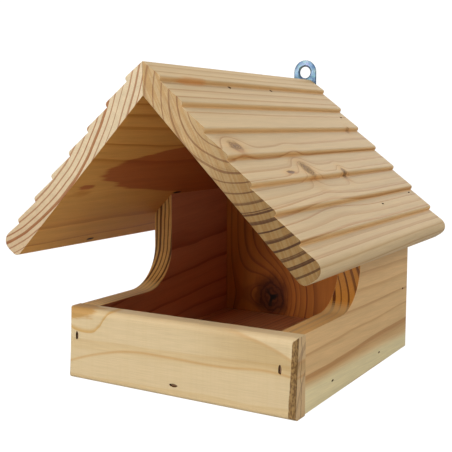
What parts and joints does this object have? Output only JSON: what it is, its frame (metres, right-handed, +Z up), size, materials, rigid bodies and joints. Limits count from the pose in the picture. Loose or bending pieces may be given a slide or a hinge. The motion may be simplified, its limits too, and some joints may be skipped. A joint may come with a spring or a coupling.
{
  "type": "birdhouse",
  "caption": "Open-fronted wooden bird house with a low front board, J-notched sides, a steep roof of milled shingle courses and a zinc hanging plate above the ridge.",
  "frame": {"origin": "middle of the box's underside, halfway between the front board's face and the back board's back and midway between the sides", "axes": "+X to the right side board as seen from in front, +Y from the open front to the wall behind, +Z up through the ridge"},
  "size_m": [0.2136, 0.2167, 0.2108],
  "materials": {
    "pale_softwood": "planed, untreated",
    "side_softwood": "planed, untreated",
    "back_softwood": "planed, untreated",
    "roof_softwood": "milled, untreated",
    "zinc_plated_steel": "bright zinc",
    "staple_wire": "dull galvanised wire"
  },
  "bodies": {
    "root": {"front_board": "pale_softwood", "left_side_board": "side_softwood", "right_side_board": "side_softwood", "back_board": "back_softwood", "floor_board": "back_softwood", "left_roof_board": "roof_softwood", "right_roof_board": "roof_softwood", "hanger_plate": "zinc_plated_steel", "upper_hanger_screw": "zinc_plated_steel", "lower_hanger_screw": "zinc_plated_steel", "left_front_staple": "staple_wire", "right_front_staple": "staple_wire", "front_floor_staple": "staple_wire", "back_floor_staple": "staple_wire", "left_floor_staples": "staple_wire", "right_floor_staples": "staple_wire", "left_back_staple": "staple_wire", "right_back_staple": "staple_wire", "ridge_staples": "staple_wire", "left_roof_back_staple": "staple_wire", "right_roof_back_staple": "staple_wire", "left_roof_side_staples": "staple_wire", "right_roof_side_staples": "staple_wire"}
  },
  "joints": []
}
